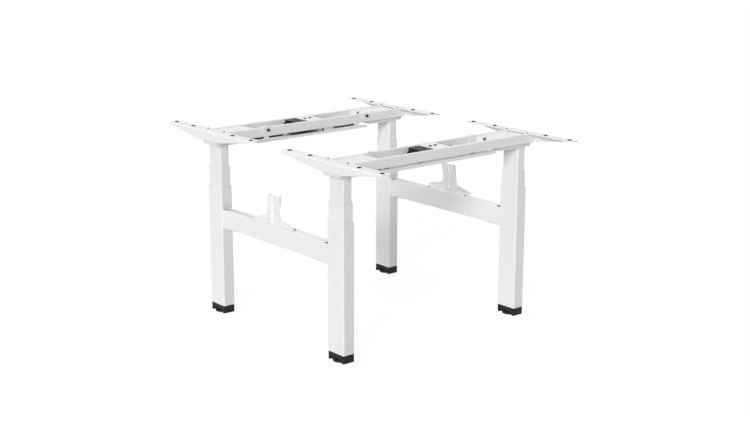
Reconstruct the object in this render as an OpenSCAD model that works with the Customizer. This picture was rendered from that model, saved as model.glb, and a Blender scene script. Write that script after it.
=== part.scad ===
// Steel frame for two electric sit-stand desks that stand face to face on shared legs.
// Each desk has two three-stage columns, a drive head on each column, two top rails,
// side brackets for the desktop, a cable tray and a control box. A low beam joins the
// two columns at each end and carries a bracket for a screen between the desks.
// Frame: X runs along the rails, Y from the front desk to the rear one, Z up,
// with the floor at zero. Lengths are in millimetres.

/* [Layout] */
// Distance between the left and right columns of a desk
column_span_x = 856; // [760:1:1100]
// Distance between the columns of the two desks
column_span_y = 751; // [700:1:950]

/* [Columns] */
// Outer tube, size along X
outer_tube_x = 50; // [48:1:56]
// Outer tube, size along Y
outer_tube_y = 90; // [84:1:96]
// Corner radius of the outer tube
outer_tube_r = 5; // [4:0.5:8]
// Corner radius of the middle and inner tubes
inner_tubes_r = 4; // [3.5:0.5:6]
// Wall of each column tube
tube_wall = 2; // [1.6:0.1:2.5]
// Clear space on each side between one tube and the next
stage_gap = 1; // [0.8:0.1:1.5]
// Length of the outer tube
outer_tube_length = 482; // [440:1:520]
// Length of the middle tube
middle_tube_length = 455; // [420:1:470]
// Length of the inner tube
inner_tube_length = 487; // [420:1:490]
// Height of the drive head above the outer tube, at the height that is drawn
drive_head_rise = 161; // [150:1:300]
// Middle tube showing above the outer tube, rear left
rear_left_rise = 77; // [60:1:90]
// Middle tube showing above the outer tube, front left
front_left_rise = 70; // [60:1:90]
// Middle tube showing above the outer tube, rear right
rear_right_rise = 79; // [60:1:90]
// Middle tube showing above the outer tube, front right
front_right_rise = 63; // [60:1:90]

/* [Guide pads] */
// Width of a guide pad on the narrow side of a tube
guide_narrow = 20; // [10:1:30]
// Width of a guide pad on the wide side of a tube
guide_wide = 56; // [30:1:66]
// Height of a guide pad
guide_height = 30; // [15:1:45]
// Running clearance of a guide pad on the tube that slides past it
guide_clearance = 0.1; // [0.05:0.01:0.2]

/* [Feet] */
// Height of the foot cap under the outer tube
foot_cap_height = 30; // [24:1:40]
// Gap between the foot cap and the floor
foot_cap_lift = 1; // [0.5:0.1:3]
// Width of the notch in the foot cap that shows the glide
glide_notch_width = 66; // [64:1:72]
// Height of the notch above the floor
glide_notch_height = 13; // [11:0.5:18]
// Depth of the foot cap's plug in the tube
plug_depth = 16; // [10:1:20]
// Gap around the plug
plug_clearance = 0.2; // [0.1:0.05:0.4]
// Diameter of the levelling glide
glide_diameter = 62; // [50:1:63]
// Thickness of the levelling glide
glide_thickness = 9.5; // [8:0.5:10]
// Chamfer of the levelling glide
glide_chamfer = 1.2; // [0.5:0.1:2]
// Diameter of the glide's threaded stem
stem_diameter = 9.9; // [8:0.1:12]
// Running clearance around the stem
stem_clearance = 0.05; // [0.02:0.01:0.1]
// Length of the stem above the glide
stem_length = 33; // [20:1:40]

/* [Low beams] */
// Width of the low beam along X
beam_width = 35.4; // [30:0.1:44]
// Height of the low beam
beam_height = 72.8; // [60:0.1:80]
// Height of the beam's underside above the floor
beam_bottom = 351.5; // [250:0.5:380]
// Wall of the beam
beam_wall = 2; // [1.5:0.1:3]
// Corner radius of the beam
beam_r = 3; // [2.5:0.5:6]
// Length over which the beam's top is open at each column
beam_cutback = 28; // [15:1:60]
// Length of the saddle plate under each end of the beam
saddle_length = 79; // [50:1:120]
// Thickness of the saddle plate
saddle_sheet = 2.6; // [2:0.1:4]
// Step of the saddle plate behind the beam's face
saddle_inset = 1.5; // [0.5:0.1:3]

/* [Screen brackets] */
// Sheet of the screen bracket
screen_sheet = 2.5; // [2:0.1:4]
// Length of the bracket's foot along the beam
screen_foot_length = 250; // [220:1:300]
// Height of the bracket above the beam
screen_height = 113.7; // [90:0.1:150]
// Width of the foot flange on the beam, from the beam's face
screen_foot_width = 33.7; // [28:0.1:35]
// Half width of the stem where it leaves the wings
stem_foot_half = 40; // [34:0.5:50]
// Half width of the stem near its top
stem_top_half = 33; // [28:0.5:40]
// Half width of the pressed channel in the middle of the stem
channel_half = 10; // [8:0.5:14]
// Depth of the pressed channel
channel_depth = 8; // [5:0.5:12]
// Width of the slots and diameter of the hole for the screen
screen_slot_width = 7; // [5:0.5:9]
// Overall length of each slot
screen_slot_length = 22; // [14:1:26]
// Depth of the stem's side flanges at the top
stem_flange_depth = 12; // [6:0.5:18]

/* [Rails] */
// Thickness of a rail
rail_width = 15; // [12:0.5:20]
// Height of a rail
rail_height = 36.5; // [30:0.5:45]
// Wall of a rail
rail_wall = 1.5; // [1.2:0.1:2.5]
// Distance between the centre lines of a desk's two rails
rail_pitch = 108; // [100:0.5:130]
// Length of the rails
rail_length = 953; // [940:1:1200]
// Radius of the lower corners at the rail ends
rail_end_r = 8; // [3:0.5:12]

/* [Drive heads] */
// Height of the drive head pan
pan_height = 15; // [12:0.5:20]
// Wall of the pan
pan_wall = 3; // [2:0.1:4]
// Width of the pan across the rails
pan_width = 92; // [84:0.5:93]
// Reach of the pan from the column's centre towards the desk's middle
pan_inward = 130; // [60:1:140]
// Reach of the pan from the column's centre outwards
pan_outward = 40; // [30:1:46]
// Sheet of the end boxes that cover the motors
end_box_sheet = 2; // [1.5:0.1:3]
// Gap from the end box's top down from the rail's top
end_box_drop = 3; // [1:0.5:6]
// Reach of the left end box from the column's centre towards the desk's middle
left_box_reach = 139; // [132:0.5:160]
// Reach of the right end box from the column's centre towards the desk's middle
right_box_reach = 162; // [145:0.5:185]
// Diameter of the motor
motor_diameter = 29; // [24:0.5:30]
// Length of the motor
motor_length = 92; // [50:1:95]
// Diameter of the lead screw
lead_screw_diameter = 16; // [12:1:20]
// Length of the lead screw below the drive head
lead_screw_length = 470; // [300:1:470]

/* [Side brackets] */
// Length of a side bracket
bracket_length = 562; // [500:1:700]
// Sheet of a side bracket
bracket_sheet = 2.5; // [2:0.1:4]
// Width of the bracket's flange
bracket_flange = 46; // [40:1:60]
// Height of the bracket's web at its middle
bracket_web = 37; // [30:0.5:38]
// Half length over which the web keeps its full height
bracket_flat_half = 65; // [55:1:120]
// Height of the bracket at its tips
bracket_tip_height = 5; // [4.5:0.5:12]
// Outer bend radius of a side bracket
bracket_bend_r = 4; // [4:0.5:6]
// Corner radius at the tips of the flange
bracket_corner_r = 12; // [6:0.5:20]

/* [Desktop mounts] */
// Distance between the outer pads of a side bracket
outer_pad_span = 509.2; // [460:0.1:530]
// Distance between the inner pads of a side bracket
inner_pad_span = 269.8; // [200:0.1:320]
// Distance of the pads from the bracket's outer face
pad_inset = 24; // [16:0.5:30]
// Diameter of a rubber pad
pad_diameter = 16; // [12:0.5:18]
// Thickness of a rubber pad
pad_thickness = 2; // [1.5:0.1:4]
// Diameter of the hole for the desktop screws
pad_hole = 6.5; // [4:0.1:8]

/* [Cable tray] */
// Length of the cable tray
tray_length = 552; // [420:1:560]
// Sheet of the cable tray
tray_sheet = 1.5; // [1:0.1:2]
// Depth of the tray below the rails
tray_depth = 22; // [20:0.1:30]
// Height of the tray's inboard side, which leaves a long opening under the rail
tray_inboard_side = 11; // [8:0.5:14]
// Rise of the tray's floor to its outboard side
tray_floor_rise = 4.3; // [2:0.1:6]
// Height of the recessed strip under the outboard rail
tray_step_height = 6; // [4:0.5:7]
// Step of the strip behind the tray's outboard side
tray_step = 9; // [2:0.5:10]
// Step of the tray's side behind the rail's face
tray_inset = 1.5; // [0.5:0.5:4]
// Length of the windows in the recessed strip
tray_window = 26; // [10:1:40]

/* [Control box] */
// Length of the control box
control_length = 147; // [120:1:160]
// Width of the control box
control_width = 78; // [60:1:86]
// Height of the control box
control_height = 34; // [26:0.5:40]
// Corner radius of the control box
control_r = 5; // [2:0.5:8]
// Length of the plate that carries the control box
centre_plate_length = 78; // [60:1:110]
// Thickness of that plate
centre_plate_sheet = 2.5; // [2:0.1:4]
// Diameter of the cables
cable_diameter = 6; // [5:0.5:7]

/* [Rail clips] */
// Width of a rail clip
clip_width = 30; // [26:1:50]
// Sheet of a rail clip
clip_sheet = 2; // [1.5:0.1:2.5]
// Length of the clip's outer leg
clip_outer_leg = 21; // [19.5:0.5:24]
// Length of the clip's inner leg
clip_inner_leg = 30; // [20:0.5:34]
// Diameter of the clip screw's head
clip_knob = 12; // [8:0.5:14]

/* [Hidden] */
$fn = 32;

// Signs of the two sides, the two desks and the two rails of a desk
left = -1;
right = 1;
front = -1;
rear = 1;
inboard = -1;
outboard = 1;

// How far a cut runs past the solid that it cuts
overrun = 1;

// Places of the columns
column_x = column_span_x / 2;
column_y = column_span_y / 2;

// Heights of the column
outer_bottom = foot_cap_lift + foot_cap_height;
outer_top = outer_bottom + outer_tube_length;
beam_top = beam_bottom + beam_height;
pan_bottom = outer_top + drive_head_rise;
pan_top = pan_bottom + pan_height;
inner_top = pan_top - pan_wall;

// Sizes of the nested tubes
outer_bore_x = outer_tube_x - 2 * tube_wall;
outer_bore_y = outer_tube_y - 2 * tube_wall;
middle_x = outer_bore_x - 2 * stage_gap;
middle_y = outer_bore_y - 2 * stage_gap;
middle_bore_x = middle_x - 2 * tube_wall;
middle_bore_y = middle_y - 2 * tube_wall;
inner_x = middle_bore_x - 2 * stage_gap;
inner_y = middle_bore_y - 2 * stage_gap;
guide_thickness = stage_gap - guide_clearance;
guide_inset = tube_wall;

// Length of the low beam between the column faces
beam_length = column_span_y - outer_tube_y;
beam_face = column_x + beam_width / 2;

// Screws: shank, head and the clearance of their holes
beam_bolt_d = 8;
beam_bolt_head_d = 14;
beam_bolt_head = 4.4;
beam_bolt_shares = [0.3, 0.75];
small_screw_d = 4.8;
small_head_d = 9;
small_head = 1.8;
small_screw_length = 10;
plate_head_d = 12;
plate_head = 3.3;
foot_screw_share = 0.87;
screw_clearance = 0.1;

// Outline of the screen bracket, as heights above the beam and half widths
wing_tip_height = 13;
wing_root_height = 29;
wing_root_half = 58;
wing_tip_slope = 4;
stem_foot_height = 41;
stem_corner_r = 5;
stem_corner_height = screen_height - stem_corner_r;
low_slot_height = 20.2;
high_slot_height = 95.7;
middle_hole_height = 58.7;
flange_start_height = 51;
foot_hole_d = 4;
foot_hole_shares = [0.32, 0.58];

// Heights and places of the top frame
rail_top = pan_top + rail_height;
rail_face = (rail_pitch + rail_width) / 2;
rail_inner_face = (rail_pitch - rail_width) / 2;
rail_end = rail_length / 2;
bracket_face = rail_end + bracket_sheet;
bracket_top = rail_top + bracket_sheet;
bracket_bottom = bracket_top - bracket_web;
bracket_inner_edge = bracket_face - bracket_flange;
bracket_screw_inset = 6;
bracket_screw_x = bracket_inner_edge + bracket_screw_inset;
pad_x = bracket_face - pad_inset;

// The drive: gearbox on the pan, motor beside it, box over both
end_box_top = rail_top - end_box_drop;
end_box_gap = 0.3;
end_box_half = rail_inner_face - clip_sheet - end_box_gap;
gearbox_x = 60;
gearbox_y = 64;
gearbox_height = 30;
gearbox_r = 6;
motor_height = gearbox_height / 2;
motor_cap = 8;
motor_cap_step = 2;
lead_screw_hole_gap = 2;
pan_corner_r = 8;
cable_hole_d = 14;
cable_hole_height = 18;
box_notch_width = 14;
box_notch_length = 18;

// Tray section and windows
tray_bottom = pan_top - tray_depth;
tray_side = rail_face - tray_inset;
tray_strip = tray_side - tray_step;
tray_middle = -10;
tray_level_half = 40;
tray_window_shares = [-0.905, -0.326, 0.27, 0.6, 0.93];
tray_window_margin = 1.5;
tray_outboard_bottom = tray_bottom + tray_floor_rise;
tray_shelf = pan_top - tray_step_height;
tray_hanger = 24;
tray_hanger_shares = [-0.85, 0.8];

// Control box under the centre plate
centre_plate_middle = 12;
centre_plate_top = rail_top;
control_middle = -9.5;
control_top = centre_plate_top - centre_plate_sheet;
control_screw_shares = [-0.28, 0.04];
control_screw_depth = 8;
socket_width = 15;
socket_height = 11;
socket_depth = 3;
socket_drop = 12;
socket_pitch = 20;
rib_width = 2;
rib_depth = 1;
rib_count = 9;
rib_pitch = 6;

// Rail clips, as shares of the distance from the desk's middle to the column
rear_clip_shares = [-0.581, 0.591];
front_clip_shares = [-0.59, 0.57];
clip_screw_offset = 8.5;
clip_screw_drop = 11;
clip_knob_depth = 6;
clip_screw_length = 8;

// Cable routes on the rear desk, from the control box to each drive.
// Each point is along X, across from the desk's centre line, and above the rails' underside.
left_cable_route = [
    [-85, -20, 22], [-97, -20, 23], [-105, -15, 18], [-109, -9, 5], [-115, -4, -8], [-128, 0, -16.7],
    [-180, 2, -16.7], [-248, 2, -16.7], [-268, 2, -9], [-278, 2, 5], [-284, 2, 15], [-292, 2, 18],
    [-306, 2, 18]
];
right_cable_route = [
    [-85, 20, 22], [-97, 20, 24], [-106, 15, 21], [-110, 8, 12], [-108, 3, 0], [-99, -5, -11],
    [-83, -27, -16.7], [-54, -44, -16.7], [-4, -47, -16.7], [38, -45, -16.7], [60, -28, -15],
    [74, -8, -4], [82, -4, 10], [92, -12, 19], [106, -16, 20], [118, -12, 12], [124, -4, 0],
    [134, 0, -11], [150, 0, -16.7], [234, 0, -16.7], [252, 0, -9], [259, 0, 5], [263, 0, 15], [272, 0, 18], [306, 0, 18]
];
plug_length = 12;
cable_sides = 8;
cable_steps = 2;

function rise(row, side) =
    row == rear ? (side == left ? rear_left_rise : rear_right_rise)
                : (side == left ? front_left_rise : front_right_rise);

// Draws its children, which lie on the rear right, at the named corner.
module at_corner(row, side) {
    flip_x(side == left) flip_y(row == front) children();
}

// Draws its children, which lie about the desk's centre line, on the named desk.
// Y is positive away from the other desk.
module on_desk(row) {
    flip_y(row == front) translate([0, column_y, 0]) children();
}

module flip_x(flipped) {
    if (flipped) mirror([1, 0, 0]) children();
    else children();
}

module flip_y(flipped) {
    if (flipped) mirror([0, 1, 0]) children();
    else children();
}

// Extrudes an outline in Y and Z along X.
module along_x(length) {
    rotate([90, 0, 90]) linear_extrude(length, center = true) children();
}

// Extrudes an outline in X and Z along Y.
module along_y(length) {
    rotate([90, 0, 0]) linear_extrude(length, center = true) children();
}

module rounded_rect(size_x, size_y, r) {
    square([size_x - 2 * r, size_y], center = true);
    square([size_x, size_y - 2 * r], center = true);
    for (i = [-1, 1], j = [-1, 1])
        translate([i * (size_x / 2 - r), j * (size_y / 2 - r)]) circle(r);
}

module tube_section(size_x, size_y, r, wall) {
    difference() {
        rounded_rect(size_x, size_y, r);
        rounded_rect(size_x - 2 * wall, size_y - 2 * wall, r - wall);
    }
}

// A slot with round ends along Y of the outline.
module slot_outline(width, length) {
    square([width, length - width], center = true);
    for (i = [-1, 1]) translate([0, i * (length - width) / 2]) circle(d = width);
}

// A screw that points down, with the underside of its head at zero.
module screw(shank_d, shank_length, head_d, head_height) {
    translate([0, 0, -shank_length]) cylinder(h = shank_length, d = shank_d);
    cylinder(h = head_height, d = head_d);
}

// Base: outer tubes, feet, low beams and screen brackets

module beam_bolt_places() {
    for (share = beam_bolt_shares)
        translate([column_x, beam_length / 2 - share * saddle_length, 0]) children();
}

module outer_tube(row, side) {
    color("gainsboro") at_corner(row, side) {
        translate([column_x, column_y, outer_bottom])
            linear_extrude(outer_tube_length) tube_section(outer_tube_x, outer_tube_y, outer_tube_r, tube_wall);
        difference() {
            translate([column_x - beam_width / 2 + saddle_inset, beam_length / 2 - saddle_length,
                       beam_bottom - saddle_sheet])
                cube([beam_width - 2 * saddle_inset, saddle_length, saddle_sheet]);
            beam_bolt_places() translate([0, 0, beam_bottom - saddle_sheet - overrun])
                cylinder(h = saddle_sheet + 2 * overrun, d = beam_bolt_d + 2 * screw_clearance);
        }
    }
}

module foot_caps(side) {
    color("dimgray") for (row = [front, rear]) at_corner(row, side) translate([column_x, column_y, 0])
        difference() {
            union() {
                translate([0, 0, foot_cap_lift]) linear_extrude(foot_cap_height)
                    rounded_rect(outer_tube_x, outer_tube_y, outer_tube_r);
                translate([0, 0, outer_bottom]) linear_extrude(plug_depth)
                    rounded_rect(outer_bore_x - 2 * plug_clearance, outer_bore_y - 2 * plug_clearance,
                                 outer_tube_r - tube_wall);
            }
            translate([0, 0, glide_notch_height / 2])
                cube([outer_tube_x + 2 * overrun, glide_notch_width, glide_notch_height], center = true);
            cylinder(h = outer_bottom + plug_depth + overrun, d = stem_diameter + 2 * stem_clearance);
        }
}

module glide(row, side) {
    radius = glide_diameter / 2;
    color("dimgray") at_corner(row, side) translate([column_x, column_y, 0]) {
        rotate_extrude() polygon([
            [0, 0], [radius - glide_chamfer, 0], [radius, glide_chamfer],
            [radius, glide_thickness - glide_chamfer], [radius - glide_chamfer, glide_thickness],
            [0, glide_thickness]
        ]);
        cylinder(h = glide_thickness + stem_length, d = stem_diameter);
    }
}

module side_beam(side) {
    color("whitesmoke") at_corner(rear, side) difference() {
        translate([column_x, 0, beam_bottom + beam_height / 2]) rotate([90, 0, 0])
            linear_extrude(beam_length, center = true) tube_section(beam_width, beam_height, beam_r, beam_wall);
        for (i = [-1, 1]) translate([column_x, i * (beam_length - beam_cutback) / 2, beam_top])
            cube([beam_width + 2 * overrun, beam_cutback + overrun / 2, 2 * beam_wall], center = true);
        for (row = [front, rear]) flip_y(row == front) {
            beam_bolt_places() translate([0, 0, beam_bottom - overrun])
                cylinder(h = beam_wall + 2 * overrun, d = beam_bolt_d + 2 * screw_clearance);
            translate([column_x, foot_screw_share * screen_foot_length / 2, beam_top - beam_wall - overrun])
                cylinder(h = beam_wall + 2 * overrun, d = small_screw_d + 2 * screw_clearance);
        }
    }
}

// Half of the screen bracket's outline, in Y and in height above the beam
function half_stem_width(height) =
    stem_foot_half + (stem_top_half - stem_foot_half) *
    (height - stem_foot_height) / (stem_corner_height - stem_foot_height);

module screen_outline() {
    half_foot = screen_foot_length / 2;
    fillet_steps = 6;
    // The fillet from the wing to the stem follows a quarter of a sine wave.
    fillet = [for (i = [0 : fillet_steps]) let (turn = 90 * i / fillet_steps) [
        wing_root_half + (stem_foot_half - wing_root_half) * sin(turn),
        wing_root_height + (stem_foot_height - wing_root_height) * (1 - cos(turn))
    ]];
    half = concat(
        [[0, 0], [half_foot - wing_tip_slope, 0], [half_foot, wing_tip_height]],
        fillet,
        [[half_stem_width(stem_corner_height), stem_corner_height],
         [half_stem_width(stem_corner_height) - stem_corner_r, screen_height], [0, screen_height]]
    );
    for (i = [0, 1]) mirror([i, 0]) {
        polygon(half);
        translate([half_stem_width(stem_corner_height) - stem_corner_r, stem_corner_height])
            circle(stem_corner_r);
    }
}

// Slots and hole in the pressed channel
module screen_holes() {
    for (height = [low_slot_height, high_slot_height])
        translate([0, height]) slot_outline(screen_slot_width, screen_slot_length);
    translate([0, middle_hole_height]) circle(d = screen_slot_width);
}

module screen_bracket(side) {
    channel_back = beam_face - channel_depth;
    color("whitesmoke") at_corner(rear, side) translate([0, 0, beam_top]) {
        // Face plate with the channel's mouth cut out of it
        translate([beam_face - screen_sheet / 2, 0, 0]) along_x(screen_sheet) difference() {
            screen_outline();
            translate([0, screen_height / 2])
                square([2 * channel_half, screen_height + 2 * overrun], center = true);
        }
        // Channel: two walls and the back with its slots
        for (i = [-1, 1])
            translate([channel_back, i * (channel_half + screen_sheet / 2) - screen_sheet / 2, 0])
                cube([channel_depth, screen_sheet, screen_height]);
        translate([channel_back - screen_sheet / 2, 0, 0]) along_x(screen_sheet) difference() {
            translate([0, screen_height / 2])
                square([2 * (channel_half + screen_sheet), screen_height], center = true);
            screen_holes();
        }
        // Foot flange on the beam
        difference() {
            translate([beam_face - screen_foot_width, -screen_foot_length / 2 + wing_tip_slope, 0])
                cube([screen_foot_width, screen_foot_length - 2 * wing_tip_slope, screen_sheet]);
            for (i = [-1, 1]) {
                translate([column_x, i * foot_screw_share * screen_foot_length / 2, -overrun])
                    cylinder(h = screen_sheet + 2 * overrun, d = small_screw_d + 2 * screw_clearance);
                for (share = foot_hole_shares)
                    translate([column_x, i * share * screen_foot_length / 2, -overrun])
                        cylinder(h = screen_sheet + 2 * overrun, d = foot_hole_d);
            }
        }
        // Side flanges of the stem, which taper to nothing at their lower end
        intersection() {
            translate([beam_face - stem_flange_depth / 2, 0, 0]) along_x(stem_flange_depth) difference() {
                screen_outline();
                polygon([for (p = [[-1, flange_start_height], [-1, stem_corner_height + stem_corner_r],
                                   [1, stem_corner_height + stem_corner_r], [1, flange_start_height]])
                    [p[0] * (half_stem_width(p[1]) - screen_sheet), p[1]]]);
            }
            along_y(screen_foot_length) polygon([
                [beam_face, flange_start_height],
                [beam_face, stem_corner_height],
                [beam_face - stem_flange_depth, stem_corner_height],
                [beam_face - stem_flange_depth, stem_corner_height - stem_flange_depth]
            ]);
        }
    }
}

module base_screws(side) {
    color("darkgray") for (row = [front, rear]) at_corner(row, side) {
        beam_bolt_places() translate([0, 0, beam_bottom + beam_wall])
            screw(beam_bolt_d, beam_wall + saddle_sheet, beam_bolt_head_d, beam_bolt_head);
        translate([column_x, foot_screw_share * screen_foot_length / 2, beam_top + screen_sheet])
            screw(small_screw_d, small_screw_length, small_head_d, small_head);
    }
}

// Four pads inside a tube's mouth, centred on the tube, with their tops at zero
module pads_inside(bore_x, bore_y) {
    for (i = [-1, 1]) {
        translate([i * (bore_x - guide_thickness) / 2, 0, -guide_height / 2])
            cube([guide_thickness, guide_wide, guide_height], center = true);
        translate([0, i * (bore_y - guide_thickness) / 2, -guide_height / 2])
            cube([guide_narrow, guide_thickness, guide_height], center = true);
    }
}

module outer_guides(side) {
    color("white") for (row = [front, rear]) at_corner(row, side)
        translate([column_x, column_y, outer_top - guide_inset]) pads_inside(outer_bore_x, outer_bore_y);
}

// Middle stages

module middle_tube(row, side) {
    middle_top = outer_top + rise(row, side);
    color("silver") at_corner(row, side)
        translate([column_x, column_y, middle_top - middle_tube_length])
            linear_extrude(middle_tube_length) tube_section(middle_x, middle_y, inner_tubes_r, tube_wall);
}

module middle_guides(row, side) {
    middle_top = outer_top + rise(row, side);
    color("white") at_corner(row, side) translate([column_x, column_y, 0]) {
        translate([0, 0, middle_top - guide_inset]) pads_inside(middle_bore_x, middle_bore_y);
        translate([0, 0, middle_top - middle_tube_length + guide_height + guide_inset])
            pads_inside(middle_x + 2 * guide_thickness, middle_y + 2 * guide_thickness);
    }
}

// Top frames: inner stages and drives

module inner_tube(row, side) {
    color("darkgray") at_corner(row, side) translate([column_x, column_y, inner_top - inner_tube_length])
        linear_extrude(inner_tube_length) tube_section(inner_x, inner_y, inner_tubes_r, tube_wall);
}

// The pan's side view in X and Z, with its lower outer corner rounded
module pan_outline() {
    difference() {
        translate([column_x - pan_inward, pan_bottom]) square([pan_inward + pan_outward, pan_height]);
        translate([column_x + pan_outward - pan_corner_r, pan_bottom]) difference() {
            translate([0, -overrun]) square([pan_corner_r + overrun, pan_corner_r + overrun]);
            translate([0, pan_corner_r]) circle(pan_corner_r);
        }
    }
}

module drive_heads(row) {
    color("whitesmoke") for (side = [left, right]) flip_x(side == left) on_desk(row) difference() {
        along_y(pan_width) pan_outline();
        translate([column_x - pan_inward + pan_wall, -pan_width / 2 + pan_wall, pan_bottom - overrun])
            cube([pan_inward + pan_outward - 2 * pan_wall, pan_width - 2 * pan_wall,
                  pan_height - pan_wall + overrun]);
        translate([column_x, 0, pan_bottom])
            cylinder(h = pan_height + overrun, d = lead_screw_diameter + 2 * lead_screw_hole_gap);
    }
}

module drive_motors(row) {
    motor_end = column_x - gearbox_x / 2 - motor_length;
    color("gray") for (side = [left, right]) flip_x(side == left) on_desk(row) {
        translate([column_x, 0, pan_top]) {
            linear_extrude(gearbox_height) rounded_rect(gearbox_x, gearbox_y, gearbox_r);
            translate([0, 0, -lead_screw_length])
                cylinder(h = lead_screw_length + gearbox_r, d = lead_screw_diameter);
        }
        translate([motor_end, 0, pan_top + motor_height]) rotate([0, 90, 0]) {
            cylinder(h = motor_length + gearbox_r, d = motor_diameter - 2 * motor_cap_step);
            translate([0, 0, motor_cap]) cylinder(h = motor_length - 2 * motor_cap, d = motor_diameter);
        }
    }
}

// Inverted box over a drive: top, two sides along the rails and the inner end
module end_box(reach, notched) {
    inner_end = column_x - reach;
    length = rail_end - inner_end;
    difference() {
        translate([inner_end, -end_box_half, pan_top])
            cube([length, 2 * end_box_half, end_box_top - pan_top]);
        translate([inner_end + end_box_sheet, -end_box_half + end_box_sheet, pan_top - overrun])
            cube([length, 2 * (end_box_half - end_box_sheet),
                  end_box_top - pan_top - end_box_sheet + overrun]);
        translate([inner_end - overrun, 0, pan_top + cable_hole_height]) rotate([0, 90, 0])
            cylinder(h = end_box_sheet + 2 * overrun, d = cable_hole_d);
        if (notched) translate([inner_end - overrun, -box_notch_width / 2, pan_top + cable_hole_height])
            cube([box_notch_length + overrun, box_notch_width, end_box_top - pan_top]);
    }
}

module end_boxes(row) {
    color("whitesmoke") on_desk(row) {
        flip_x(true) end_box(left_box_reach, false);
        end_box(right_box_reach, true);
    }
}

// Top frames: rails and side brackets

module bracket_screw_places(row) {
    on_desk(row) for (i = [-1, 1], line = [inboard, outboard])
        translate([i * bracket_screw_x, line * rail_pitch / 2, 0]) children();
}

function clip_places(row) = [for (share = row == rear ? rear_clip_shares : front_clip_shares) share * column_x];

module rail(row, line) {
    color("whitesmoke") on_desk(row) difference() {
        intersection() {
            translate([0, line * rail_pitch / 2, pan_top + rail_height / 2])
                along_x(rail_length) tube_section(rail_width, rail_height, 2 * rail_wall, rail_wall);
            translate([0, line * rail_pitch / 2, pan_top + rail_height / 2]) along_y(rail_width + 2 * overrun)
                union() {
                    translate([0, rail_end_r / 2])
                        square([rail_length, rail_height - rail_end_r], center = true);
                    square([rail_length - 2 * rail_end_r, rail_height], center = true);
                    for (i = [-1, 1]) translate([i * (rail_end - rail_end_r), rail_end_r - rail_height / 2])
                        circle(rail_end_r);
                }
        }
        for (i = [-1, 1])
            translate([i * bracket_screw_x, line * rail_pitch / 2, rail_top - rail_wall - overrun])
                cylinder(h = rail_wall + 2 * overrun, d = small_screw_d + 2 * screw_clearance);
        if (line == inboard) for (x = clip_places(row))
            translate([x + clip_screw_offset, -rail_face - overrun, rail_top - clip_screw_drop])
                rotate([-90, 0, 0])
                    cylinder(h = rail_wall + 2 * overrun, d = small_screw_d + 2 * screw_clearance);
    }
}

// Bent L in X and Z: flange on top, web outside
module bracket_section() {
    translate([bracket_inner_edge, bracket_top - bracket_sheet])
        square([bracket_flange - bracket_bend_r, bracket_sheet]);
    translate([bracket_face - bracket_sheet, bracket_bottom])
        square([bracket_sheet, bracket_web - bracket_bend_r]);
    translate([bracket_face - bracket_bend_r, bracket_top - bracket_bend_r]) intersection() {
        difference() {
            circle(bracket_bend_r);
            circle(bracket_bend_r - bracket_sheet);
        }
        square(bracket_bend_r);
    }
}

module pad_places() {
    for (i = [-1, 1], span = [outer_pad_span, inner_pad_span]) translate([pad_x, i * span / 2, 0]) children();
}

module side_bracket(row, side) {
    half = bracket_length / 2;
    color("whitesmoke") flip_x(side == left) on_desk(row) difference() {
        intersection() {
            along_y(bracket_length) bracket_section();
            translate([bracket_face - bracket_flange / 2, 0, 0]) along_x(bracket_flange + 2 * overrun) polygon([
                [-half, bracket_top + overrun], [-half, bracket_top - bracket_tip_height],
                [-bracket_flat_half, bracket_bottom], [bracket_flat_half, bracket_bottom],
                [half, bracket_top - bracket_tip_height], [half, bracket_top + overrun]
            ]);
            translate([bracket_face - bracket_flange / 2, 0, bracket_bottom]) linear_extrude(bracket_web)
                rounded_rect(bracket_flange, bracket_length, bracket_corner_r);
        }
        pad_places() translate([0, 0, bracket_top - bracket_sheet - overrun])
            cylinder(h = bracket_sheet + 2 * overrun, d = pad_hole);
        for (line = [inboard, outboard])
            translate([bracket_screw_x, line * rail_pitch / 2, bracket_top - bracket_sheet - overrun])
                cylinder(h = bracket_sheet + 2 * overrun, d = small_screw_d + 2 * screw_clearance);
    }
}

module rubber_pads(row) {
    color("dimgray") on_desk(row) for (side = [left, right]) flip_x(side == left) pad_places()
        translate([0, 0, bracket_top]) difference() {
            cylinder(h = pad_thickness, d = pad_diameter);
            translate([0, 0, -overrun]) cylinder(h = pad_thickness + 2 * overrun, d = pad_hole);
        }
}

// Top frames: cable tray, control box and what holds them

module control_screw_places() {
    for (share = control_screw_shares)
        translate([centre_plate_middle + share * centre_plate_length, 0, 0]) children();
}

module top_screws(row) {
    color("darkgray") {
        bracket_screw_places(row) translate([0, 0, bracket_top])
            screw(small_screw_d, small_screw_length, small_head_d, small_head);
        on_desk(row) control_screw_places() translate([0, 0, centre_plate_top])
            screw(small_screw_d, centre_plate_sheet + control_screw_depth, plate_head_d, plate_head);
    }
}

module tray_section() {
    // Floor, level under the cables and rising to the outboard side
    polygon([
        [-tray_side, tray_bottom], [tray_level_half, tray_bottom], [tray_side, tray_outboard_bottom],
        [tray_side, tray_outboard_bottom + tray_sheet], [tray_level_half, tray_bottom + tray_sheet],
        [-tray_side, tray_bottom + tray_sheet]
    ]);
    // Inboard side
    translate([-tray_side, tray_bottom]) square([tray_sheet, tray_inboard_side]);
    // Outboard side, shelf of the step, recessed strip and the flange under the rail
    translate([tray_side - tray_sheet, tray_outboard_bottom])
        square([tray_sheet, tray_shelf - tray_outboard_bottom]);
    translate([tray_strip - tray_sheet, tray_shelf - tray_sheet])
        square([tray_step + tray_sheet, tray_sheet]);
    translate([tray_strip - tray_sheet, tray_shelf - tray_sheet])
        square([tray_sheet, tray_step_height + tray_sheet]);
    translate([rail_inner_face, pan_top - tray_sheet]) square([tray_strip - rail_inner_face, tray_sheet]);
}

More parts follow.
